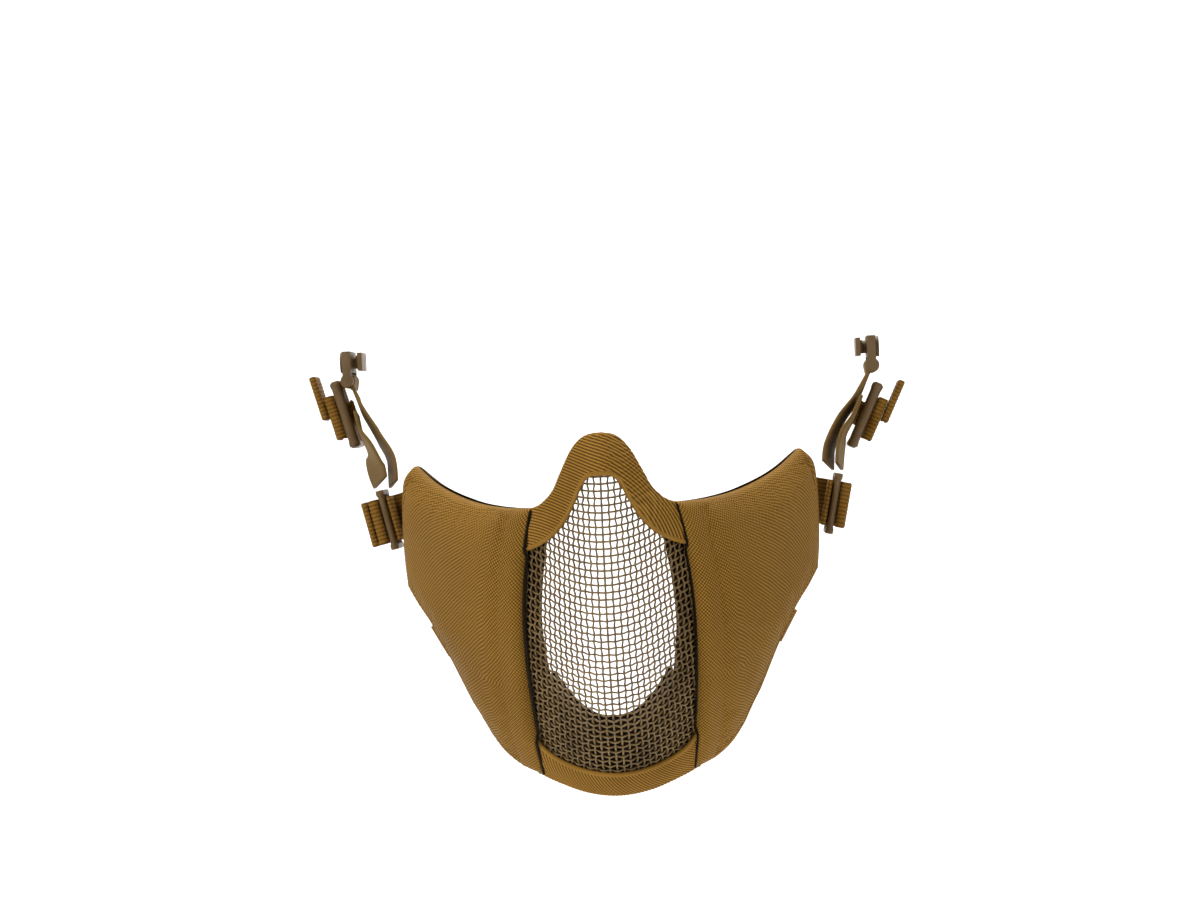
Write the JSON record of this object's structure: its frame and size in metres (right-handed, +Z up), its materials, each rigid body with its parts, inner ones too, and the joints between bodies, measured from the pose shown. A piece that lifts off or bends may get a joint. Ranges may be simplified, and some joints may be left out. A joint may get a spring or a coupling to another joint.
{
  "type": "mesh face mask",
  "caption": "Lower-face mask: domed woven wire mesh with bound edges between two padded fabric side panels, on webbing straps with sliders and helmet rail clips.",
  "frame": {"origin": "midway between the rear edges of the two side panels, at mouth height, where the wearer's face enters", "axes": "+Z up, front of the mask towards -Y, +X towards the wearer's left"},
  "size_m": [0.2274, 0.1403, 0.167],
  "materials": {
    "side_fabric": "plain-woven nylon, coyote tan, matt with a faint sheen",
    "binding_tape": "ribbed binding tape, coyote tan",
    "screen_wire": "powder-coated woven steel wire, khaki tan",
    "lining": "dark brown brushed lining",
    "foam": "closed-cell foam",
    "webbing": "ribbed nylon webbing, coyote tan",
    "slider_plastic": "moulded nylon, coyote brown, satin",
    "clip_plastic": "moulded nylon, coyote brown, satin"
  },
  "bodies": {
    "root": {"mesh_screen": "screen_wire", "nose_binding": "binding_tape", "chin_binding": "binding_tape", "chin_lining": "lining", "left_side_cover": "side_fabric", "left_side_foam": "foam", "left_side_lining": "lining", "left_anchor_webbing": "webbing", "left_lower_tab": "webbing", "right_side_cover": "side_fabric", "right_side_foam": "foam", "right_side_lining": "lining", "right_anchor_webbing": "webbing", "right_lower_tab": "webbing"},
    "left_lower_slider": {"left_lower_slider_frame": "slider_plastic", "left_lower_fold_outer": "webbing", "left_lower_fold_inner": "webbing", "left_lower_tail": "webbing"},
    "left_strap": {"left_strap_inner_ply": "webbing", "left_strap_outer_ply": "webbing", "left_strap_top_loop": "webbing", "left_upper_keeper": "webbing"},
    "left_upper_slider": {"left_upper_slider_frame": "slider_plastic", "left_upper_fold": "webbing", "left_upper_tail": "webbing"},
    "left_rail_clip": {"left_rail_clip_body": "clip_plastic"},
    "left_rail_foot": {"left_rail_clip_foot": "clip_plastic"},
    "left_rail_button": {"left_rail_clip_button": "clip_plastic"},
    "right_lower_slider": {"right_lower_slider_frame": "slider_plastic", "right_lower_fold_outer": "webbing", "right_lower_fold_inner": "webbing"},
    "right_strap": {"right_strap_inner_ply": "webbing", "right_strap_outer_ply": "webbing", "right_strap_top_loop": "webbing", "right_upper_keeper": "webbing"},
    "right_upper_slider": {"right_upper_slider_frame": "slider_plastic", "right_upper_fold": "webbing", "right_upper_tail": "webbing"},
    "right_rail_clip": {"right_rail_clip_body": "clip_plastic"},
    "right_rail_foot": {"right_rail_clip_foot": "clip_plastic"},
    "right_rail_button": {"right_rail_clip_button": "clip_plastic"}
  },
  "joints": [
    {"name": "left_lower_slider_swing", "type": "hinge", "parent": "root", "child": "left_lower_slider", "pos_m": [-0.084, 0.0205, 0.0299], "axis": [0.225, 0, -0.9744], "range_deg": [-6, 35]},
    {"name": "left_strap_swing", "type": "hinge", "parent": "root", "child": "left_strap", "pos_m": [-0.0823, 0.015, 0.0422], "axis": [0, -1, 0], "range_deg": [-3, 15]},
    {"name": "left_upper_slider_swing", "type": "hinge", "parent": "left_strap", "child": "left_upper_slider", "pos_m": [-0.1003, 0.0425, 0.0705], "axis": [0.2672, 0, -0.9636], "range_deg": [-1, 30]},
    {"name": "left_rail_clip_swing", "type": "hinge", "parent": "left_strap", "child": "left_rail_clip", "pos_m": [-0.0982, 0.028, 0.0831], "axis": [0, -1, 0], "range_deg": [-12, 20]},
    {"name": "left_rail_foot_turn", "type": "hinge", "parent": "left_rail_clip", "child": "left_rail_foot", "pos_m": [-0.0982, 0.028, 0.0903], "axis": [1, 0, 0], "range_deg": [-90, 90]},
    {"name": "left_rail_button_press", "type": "slide", "parent": "left_rail_clip", "child": "left_rail_button", "axis": [1, 0, 0], "range_m": [0, 0.001], "stiffness_N_per_m": 300},
    {"name": "right_lower_slider_swing", "type": "hinge", "parent": "root", "child": "right_lower_slider", "pos_m": [0.0835, 0.0205, 0.0283], "axis": [0.2164, 0, 0.9763], "range_deg": [-6, 35]},
    {"name": "right_strap_swing", "type": "hinge", "parent": "root", "child": "right_strap", "pos_m": [0.0823, 0.015, 0.0409], "axis": [0, 1, 0], "range_deg": [-3, 15]},
    {"name": "right_upper_slider_swing", "type": "hinge", "parent": "right_strap", "child": "right_upper_slider", "pos_m": [0.0975, 0.0425, 0.061], "axis": [0.4384, 0, 0.8988], "range_deg": [-1, 30]},
    {"name": "right_rail_clip_swing", "type": "hinge", "parent": "right_strap", "child": "right_rail_clip", "pos_m": [0.1008, 0.028, 0.0797], "axis": [0, 1, 0], "range_deg": [-12, 20]},
    {"name": "right_rail_foot_turn", "type": "hinge", "parent": "right_rail_clip", "child": "right_rail_foot", "pos_m": [0.1008, 0.028, 0.0869], "axis": [1, 0, 0], "range_deg": [-90, 90]},
    {"name": "right_rail_button_press", "type": "slide", "parent": "right_rail_clip", "child": "right_rail_button", "axis": [-1, 0, 0], "range_m": [0, 0.001], "stiffness_N_per_m": 300}
  ]
}
